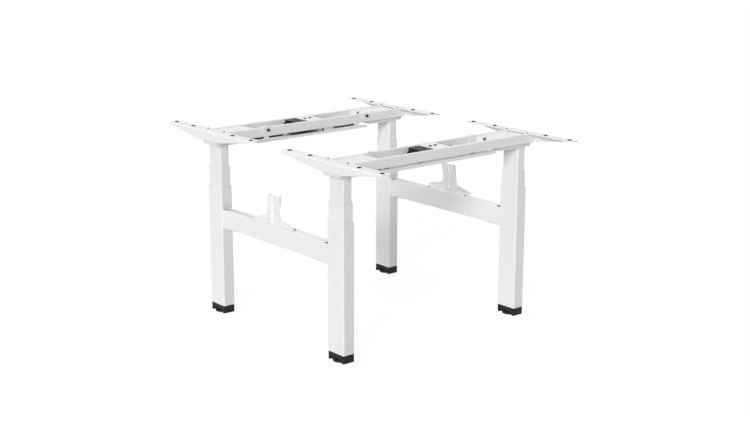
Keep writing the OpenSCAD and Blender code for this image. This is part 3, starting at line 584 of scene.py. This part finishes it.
def smooth_route(points):
    """Catmull-Rom curve through the points, with the end points held.

    Between b and c, with a before them and d after them, it is
    (2b + (c - a) t + (2a - 5b + 4c - d) t^2 + (3b - a - 3c + d) t^3) / 2.
    """
    points = np.asarray(points, float)
    held = np.concatenate([points[:1], points, points[-1:]])
    a, b, c, d = (held[i:len(held) - 3 + i, None] for i in range(4))
    t = np.linspace(0, 1, STEPS_PER_SPAN, endpoint=False)[None, :, None]
    square, cube = 2 * a - 5 * b + 4 * c - d, 3 * b - a - 3 * c + d
    curve = (2 * b + (c - a) * t + square * t ** 2 + cube * t ** 3) / 2
    return np.concatenate([curve.reshape(-1, 3), points[-1:]])


def unit(vectors):
    return vectors / np.linalg.norm(vectors, axis=-1, keepdims=True)


def swept(path, radius, sides):
    """Round rings square to a path: p + r (cos t up + sin t side), with side square to the path and to Y."""
    along = unit(np.gradient(path, axis=0))
    side = unit(np.cross(along, (0, 1, 0)))
    up = np.cross(side, along)
    turn = angles(sides)[None, :, None]
    radius = np.broadcast_to(np.asarray(radius, float), len(path))[:, None, None]
    return path[:, None] + radius * (np.cos(turn) * up[:, None] + np.sin(turn) * side[:, None])


# Moulded plug, from its face in the socket outwards, in millimetres: distance, half width, half height and
# squareness
PLUG_ROWS = [
    (0.0, 6.6, 4.6, 0.30), (0.5, 7.3, 5.3, 0.26), (7.0, 7.3, 5.3, 0.26), (7.4, 6.9, 4.9, 0.26),
    (8.2, 6.9, 4.9, 0.26), (8.6, 7.3, 5.3, 0.26), (11.2, 7.2, 5.2, 0.30), (12.0, 6.2, 4.6, 0.45),
    (12.4, 4.7, 4.4, 0.90), (13.4, 4.6, 4.6, 1.0), (13.7, 3.7, 3.7, 1.0), (14.5, 3.7, 3.7, 1.0),
    (14.8, 4.3, 4.3, 1.0), (15.8, 4.2, 4.2, 1.0), (16.1, 3.5, 3.5, 1.0), (16.9, 3.5, 3.5, 1.0),
    (17.2, 4.0, 4.0, 1.0), (18.2, 3.8, 3.8, 1.0), (18.6, 3.2, 3.2, 1.0),
]
PLUG_FACE_X = -80 * MM
PLUG_BODY = 12
PLUG_LEAN = 0.05
PLUG_SIDES = 32


def plug_surface(desk, across, height):
    """Plug and strain relief: superellipses (w |cos t|^e, h |sin t|^e) whose squareness e fades to 1."""
    distance, width, rise, square = np.array(PLUG_ROWS).T[:, :, None]
    turn = angles(PLUG_SIDES)[None]
    y = width * np.sign(np.cos(turn)) * np.abs(np.cos(turn)) ** square
    z = rise * np.sign(np.sin(turn)) * np.abs(np.sin(turn)) ** square
    x, middle, base = desk_point(desk, PLUG_FACE_X, across * MM, height * MM)
    lean = PLUG_LEAN * np.maximum(distance - PLUG_BODY, 0)
    rings = np.stack([x - distance * MM + 0 * y, middle - y * MM, base + (z + lean) * MM], axis=-1)
    return capped_surface(rings)


# Radius of a grommet and distance from the middle of its sheet, in millimetres
GROMMET_PROFILE = [
    (3.4, -1.8), (6.2, -2.2), (7.8, -1.9), (8.2, -1.4), (7.9, -1.0), (7.0, -1.0), (7.0, 1.0), (7.9, 1.0),
    (8.2, 1.4), (7.8, 1.9), (6.2, 2.2), (3.4, 1.8),
]
GROMMET_SIDES = 40
BOX_SHEET = 2 * MM
ALONG_X = [[0, 0, 1], [0, 1, 0], [-1, 0, 0]]


def grommet_and_hole_shade_surface(desk):
    """Rubber grommets in the end boxes' cable holes: a turned ring with a lip on each side of the sheet.
    Their black rubber fills the holes and is also painted shade for the dark inside of the end boxes.
    """
    # The black ring filling each hole is partly a real grommet and partly painted shade for the end box's
    # dark inside.
    rings = turned(np.array(GROMMET_PROFILE) * MM, GROMMET_SIDES)
    ring = (rings.reshape(-1, 3), grid_faces(len(GROMMET_PROFILE), GROMMET_SIDES, wraps=True))
    places = []
    for low, high in solids_of("end_boxes_" + desk):
        side = math.copysign(1, low[0] + high[0])
        inner_end = low[0] if side > 0 else high[0]
        places.append(desk_point(desk, inner_end + side * BOX_SHEET / 2, 0, CABLE_HOLE_HEIGHT))
    return copies(ring, places, ALONG_X)


def make_cables(desk):
    surfaces = [grommet_and_hole_shade_surface(desk)]
    for route in CABLE_ROUTES.values():
        path = smooth_route([desk_point(desk, x * MM, y * MM, z * MM) for x, y, z in route])
        surfaces.append(capped_surface(swept(path, CABLE_RADIUS, CABLE_SIDES)))
        surfaces.append(plug_surface(desk, route[0][1], route[0][2]))
    make_piece("sheathed_cables_" + desk, joined(surfaces), cable_rubber, desk + "_top",
               ["cables_" + desk], sharp=50)


BEAD_RADIUS = 2.2 * MM
BEAD_RIPPLE = 2.6 * MM
BEAD_RIPPLE_SHARE = 0.14
BEAD_STEP = 0.5 * MM
BEAD_SIDES = 12
BEAD_INSET = 4 * MM
SADDLE_SHEET = 2.6 * MM


def bead_radii(path):
    """Radius at the way s along a weld bead: R (1 + d |sin(pi s / ripple)|), tapering at its ends."""
    way = np.concatenate([[0], np.cumsum(np.linalg.norm(np.diff(path, axis=0), axis=1))])
    ripple = 1 + BEAD_RIPPLE_SHARE * np.abs(np.sin(math.pi * way / BEAD_RIPPLE))
    ends = np.clip(np.minimum(way, way[-1] - way) / (2 * BEAD_RADIUS), 0.25, 1) ** 0.5
    return BEAD_RADIUS * ripple * ends


def make_saddle_weld(desk, side):
    """Bead under the joint of the saddle plate and the outer tube, across the plate's width."""
    low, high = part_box("side_beam_" + side)
    face = high[1] if DESKS[desk] > 0 else low[1]
    x = np.arange(low[0] + BEAD_INSET, high[0] - BEAD_INSET, BEAD_STEP)
    path = np.stack([x, np.full(len(x), face), np.full(len(x), low[2] - SADDLE_SHEET)], axis=-1)
    bead = capped_surface(swept(path, bead_radii(path), BEAD_SIDES))
    make_piece("saddle_weld_%s_%s" % (desk, side), bead, tube_coat, "base_" + side, sharp=60)


# Screen brackets: one pressed and folded sheet each

SHEET_THICKNESS = 2.5 * MM
SHEET_BEND = 3.5 * MM
FOOT_WIDTH, FOOT_HALF, FOOT_CORNER = 33.7 * MM, 121 * MM, 6 * MM
# Half width and height above the beam of the wing's tip, the fillet's root, and the stem's foot and top
WING_TIP, WING_ROOT = (125 * MM, 13 * MM), (58 * MM, 29 * MM)
STEM_FOOT, STEM_TOP = (40 * MM, 41 * MM), (33 * MM, 108.7 * MM)
STEM_CORNER = 5 * MM
CHANNEL_MOUTH, CHANNEL_DRAFT, CHANNEL_DEPTH = 15 * MM, 6 * MM, 6.75 * MM
CHANNEL_FADE = 7 * MM
FOLD_RADIUS, FOLD_LENGTH, FOLD_LEAST = 3 * MM, 13.7 * MM, 0.4 * MM
FOLD_START, FOLD_FULL = 51 * MM, 108.7 * MM
# Columns of the sheet's grid: across the channel, as shares of the way to the fold, and of the fold's length
CHANNEL_COLUMNS = np.linspace(-16, 16, 49) * MM
WING_STEPS = np.linspace(0, 1, 13)[1:]
FOLD_STEPS = np.linspace(0, 1, 11)[1:] ** 1.6
SLOT_WIDTH, SLOT_LENGTH = 7 * MM, 22 * MM
SLOT_HEIGHTS = (20.2 * MM, 95.7 * MM)
MIDDLE_HOLE_HEIGHT = 58.7 * MM
# Places of the foot's holes along Y, by their diameter
FOOT_HOLES = {4 * MM: (40 * MM, 72.5 * MM), 5 * MM: (108.75 * MM,)}
HOLE_SIDES = 32
FACE_CUT, FOOT_CUT = (-5 * MM, 20 * MM), (-5 * MM, 10 * MM)


def smooth_step(value):
    value = np.clip(value, 0, 1)
    return value * value * (3 - 2 * value)


def between(start, end, share):
    return start + share * (end - start)


def sheet_rows():
    """Middle line of the sheet from the foot's inner edge up: depth behind the face, height, half width."""
    middle = SHEET_THICKNESS / 2
    bend = SHEET_BEND - middle
    corner_depth, corner_half = FOOT_WIDTH - FOOT_CORNER, FOOT_HALF - FOOT_CORNER
    foot = [(corner_depth + FOOT_CORNER * math.cos(a), middle, corner_half + FOOT_CORNER * math.sin(a))
            for a in np.radians(np.linspace(0, 90, 5))]
    foot += [(d, middle, FOOT_HALF) for d in np.linspace(corner_depth, SHEET_BEND, 5)[1:]]
    turn = [(SHEET_BEND - bend * math.sin(a), SHEET_BEND - bend * math.cos(a), FOOT_HALF + 0.3 * MM)
            for a in np.radians(np.linspace(18, 90, 5))]
    wing = [(middle, z, between(FOOT_HALF, WING_TIP[0], z / WING_TIP[1]))
            for z in np.linspace(SHEET_BEND, WING_TIP[1], 5)[1:]]
    slope = [(middle, between(WING_TIP[1], WING_ROOT[1], share), between(WING_TIP[0], WING_ROOT[0], share))
             for share in np.linspace(0, 1, 9)[1:]]
    fillet = [(middle, between(WING_ROOT[1], STEM_FOOT[1], 1 - math.cos(a)),
               between(WING_ROOT[0], STEM_FOOT[0], math.sin(a)))
              for a in np.radians(np.linspace(0, 90, 9)[1:])]
    stem = [(middle, between(STEM_FOOT[1], STEM_TOP[1], share), between(STEM_FOOT[0], STEM_TOP[0], share))
            for share in np.linspace(0, 1, 25)[1:]]
    top = [(middle, STEM_TOP[1] + STEM_CORNER * math.sin(a), STEM_TOP[0] - STEM_CORNER * (1 - math.cos(a)))
           for a in np.radians(np.linspace(0, 90, 7)[1:])]
    return np.array(foot + turn + wing + slope + fillet + stem + top)


def bracket_sheet():
    """Both faces of the sheet, as one closed surface of (depth behind the face, Y, height above the beam).

    The channel is pressed in by D S((m - |y|) / draft), with S the smooth step 3 v^2 - 2 v^3. Past its edges
    the sheet folds inwards round a radius R: at length s round the bend it lies R sin(s / R) further out and
    R (1 - cos(s / R)) further in up to a quarter turn, then goes straight in. The length grows up the stem.
    """
    depth, height, half = sheet_rows().T
    share = np.clip((height - FOLD_START) / (FOLD_FULL - FOLD_START), 0, 1)
    length = np.maximum(share * FOLD_LENGTH, FOLD_LEAST)[:, None] * FOLD_STEPS
    bend = np.minimum(length / FOLD_RADIUS, math.pi / 2)
    out = FOLD_RADIUS * np.sin(bend)
    side_in = FOLD_RADIUS * (1 - np.cos(bend)) + length - FOLD_RADIUS * bend
    edge = half[:, None] - out[:, -1:]
    centre = np.repeat(CHANNEL_COLUMNS[None], len(half), axis=0)
    wing = CHANNEL_COLUMNS[-1] + (edge - CHANNEL_COLUMNS[-1]) * WING_STEPS
    right = np.concatenate([wing, edge + out], axis=1)
    y = np.concatenate([-right[:, ::-1], centre, right], axis=1)
    press = CHANNEL_DEPTH * smooth_step((CHANNEL_MOUTH - np.abs(centre)) / CHANNEL_DRAFT)
    press = press * smooth_step((height - SHEET_BEND) / CHANNEL_FADE)[:, None]
    side_in = np.concatenate([np.zeros_like(wing), side_in], axis=1)
    inward = np.concatenate([side_in[:, ::-1], press, side_in], axis=1)
    path = np.stack([depth, height], axis=-1)
    along = unit(np.gradient(path, axis=0))
    normal_in = np.stack([along[:, 1], -along[:, 0]], axis=-1)
    place = path[:, None] + inward[..., None] * normal_in[:, None]
    middle = np.stack([place[..., 0], y, place[..., 1]], axis=-1)
    normal = unit(np.cross(np.gradient(middle, axis=1), np.gradient(middle, axis=0)))
    columns = middle.shape[1]
    loop = np.concatenate([middle - normal * SHEET_THICKNESS / 2,
                           (middle + normal * SHEET_THICKNESS / 2)[:, ::-1]], axis=1)
    width = 2 * columns
    low = [(i, i + 1, width - 2 - i, width - 1 - i) for i in range(columns - 1)]
    base = (len(middle) - 1) * width
    high = [tuple(base + i for i in reversed(face)) for face in low]
    walls = [tuple(reversed(face)) for face in grid_faces(len(middle), width)]
    return loop.reshape(-1, 3), walls + low + high


def slot_prism(width, length, height):
    """Cutter through the face: a slot with round ends, up the stem."""
    turn = angles(HOLE_SIDES)
    y = width / 2 * np.cos(turn)
    z = height + width / 2 * np.sin(turn) + np.sign(np.sin(turn)) * (length - width) / 2
    return capped_surface(np.stack([np.stack([np.full(HOLE_SIDES, x), y, z], axis=-1) for x in FACE_CUT]))


def hole_prism(diameter, x, y):
    """Cutter through the foot."""
    rings = turned([(diameter / 2, z) for z in FOOT_CUT], HOLE_SIDES)
    return copies(capped_surface(rings), [(x, y, 0)])


def make_screen_bracket(side):
    """Cuts the holes out of the sheet, then stands it on the beam with its face outwards."""
    sign = SIDES[side]
    low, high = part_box("screen_bracket_" + side)
    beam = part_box("side_beam_" + side)
    face, foot = (high[0] if sign > 0 else low[0]), beam[1][2]
    screw_line = abs(face - (beam[0][0] + beam[1][0]) / 2)
    cutters = [slot_prism(SLOT_WIDTH, SLOT_LENGTH, height) for height in SLOT_HEIGHTS]
    cutters.append(slot_prism(SLOT_WIDTH, SLOT_WIDTH, MIDDLE_HOLE_HEIGHT))
    cutters += [hole_prism(diameter, screw_line, end * y) for diameter, places in FOOT_HOLES.items()
                for y in places for end in (-1, 1)]
    sheet = added_object("sheet", surface_mesh("sheet", bracket_sheet()))
    cutter = added_object("cutter", surface_mesh("cutter", joined(cutters)))
    cut = sheet.modifiers.new("holes", "BOOLEAN")
    cut.operation, cut.object, cut.solver = "DIFFERENCE", cutter, "EXACT"
    bpy.context.view_layer.update()
    mesh = bpy.data.meshes.new_from_object(sheet.evaluated_get(bpy.context.evaluated_depsgraph_get()))
    for scrap in (sheet, cutter):
        bpy.data.objects.remove(scrap)
    # The sheet is alike on both sides of its middle, so turning it half way round gives the other side.
    corners = corners_of(mesh) * np.array([-sign, -sign, 1]) + np.array([face, 0, foot])
    mesh.vertices.foreach_set("co", corners.astype(np.float32).ravel())
    mesh.update()
    finish_piece("pressed_screen_bracket_" + side, mesh, white_coat, "base_" + side,
                 ["screen_bracket_" + side], 35)


for desk in DESKS:
    make_pads(desk)
    make_screws("top_frame_screws_" + desk, "top_screws_" + desk, desk + "_top")
    make_knobs(desk)
    make_cables(desk)
    for side in SIDES:
        make_glide("%s_%s" % (desk, side))
        make_saddle_weld(desk, side)
for side in SIDES:
    make_screws("beam_screws_" + side, "base_screws_" + side, "base_" + side)
    make_screen_bracket(side)


# Floor, backdrop and light

FLOOR_SIZE = 40.0
FLOOR_GREY = 0.60
# Share and strength of the floor's own white, which shows only where the floor is seen
FLOOR_GLOW = 0.88
FLOOR_STRENGTH = 1.067
SKY_LIGHT = 0.20
# Each lamp: strength, bearing in degrees from -X towards -Y, height in degrees, apparent width in radians
LAMPS = {
    "key_lamp": (2.32, 33, 20, 0.4),
    "top_lamp": (1.58, -90, 70, 1.0),
}


def seen_directly(tree):
    """One for camera, glossy and transmitted rays, and zero for the rays that light the object."""
    path = tree.nodes.new("ShaderNodeLightPath")
    first = tree.nodes.new("ShaderNodeMath")
    second = tree.nodes.new("ShaderNodeMath")
    first.operation = second.operation = "MAXIMUM"
    tree.links.new(path.outputs["Is Camera Ray"], first.inputs[0])
    tree.links.new(path.outputs["Is Glossy Ray"], first.inputs[1])
    tree.links.new(first.outputs[0], second.inputs[0])
    tree.links.new(path.outputs["Is Transmission Ray"], second.inputs[1])
    return second.outputs[0]


def make_world():
    """White where it is seen, and a plain dim sky where it lights the frame."""
    world = bpy.data.worlds.new("studio")
    bpy.context.scene.world = world
    world.use_nodes = True
    tree = world.node_tree
    sky = tree.nodes["Background"]
    sky.inputs["Color"].default_value = (1, 1, 1, 1)
    sky.inputs["Strength"].default_value = SKY_LIGHT
    white = tree.nodes.new("ShaderNodeBackground")
    white.inputs["Color"].default_value = (1, 1, 1, 1)
    white.inputs["Strength"].default_value = 1.0
    mix = tree.nodes.new("ShaderNodeMixShader")
    tree.links.new(seen_directly(tree), mix.inputs["Fac"])
    tree.links.new(sky.outputs[0], mix.inputs[1])
    tree.links.new(white.outputs[0], mix.inputs[2])
    tree.links.new(mix.outputs[0], tree.nodes["World Output"].inputs["Surface"])


def make_floor():
    """A pale floor that is nearly white where it is seen and keeps a soft shadow under the frame."""
    half = FLOOR_SIZE / 2
    corners = np.array([(-half, -half, 0), (half, -half, 0), (half, half, 0), (-half, half, 0)])
    floor = added_object("floor", surface_mesh("floor", (corners, [(0, 1, 2, 3)])))
    material = bpy.data.materials.new("studio_floor")
    material.use_nodes = True
    tree = material.node_tree
    tree.nodes.remove(tree.nodes["Principled BSDF"])
    matt = tree.nodes.new("ShaderNodeBsdfDiffuse")
    matt.inputs["Color"].default_value = (FLOOR_GREY, FLOOR_GREY, FLOOR_GREY, 1)
    glow = tree.nodes.new("ShaderNodeEmission")
    glow.inputs["Color"].default_value = (1, 1, 1, 1)
    glow.inputs["Strength"].default_value = FLOOR_STRENGTH
    share = tree.nodes.new("ShaderNodeMath")
    share.operation = "MULTIPLY"
    share.inputs[1].default_value = FLOOR_GLOW
    mix = tree.nodes.new("ShaderNodeMixShader")
    tree.links.new(seen_directly(tree), share.inputs[0])
    tree.links.new(share.outputs[0], mix.inputs["Fac"])
    tree.links.new(matt.outputs[0], mix.inputs[1])
    tree.links.new(glow.outputs[0], mix.inputs[2])
    tree.links.new(mix.outputs[0], tree.nodes["Material Output"].inputs["Surface"])
    floor.data.materials.append(material)


def make_lamps():
    """Distant soft lamps, each turned to shine from its bearing and height towards the frame."""
    for name, (strength, bearing, height, width) in LAMPS.items():
        data = bpy.data.lights.new(name, "SUN")
        data.energy = strength
        data.angle = width
        lamp = added_object(name, data)
        across, up = math.radians(bearing), math.radians(height)
        level = math.cos(up)
        towards = Vector((-level * math.cos(across), -level * math.sin(across), math.sin(up)))
        lamp.rotation_euler = towards.to_track_quat("Z", "Y").to_euler()


make_world()
make_floor()
make_lamps()
bpy.context.scene.view_settings.view_transform = "Standard"
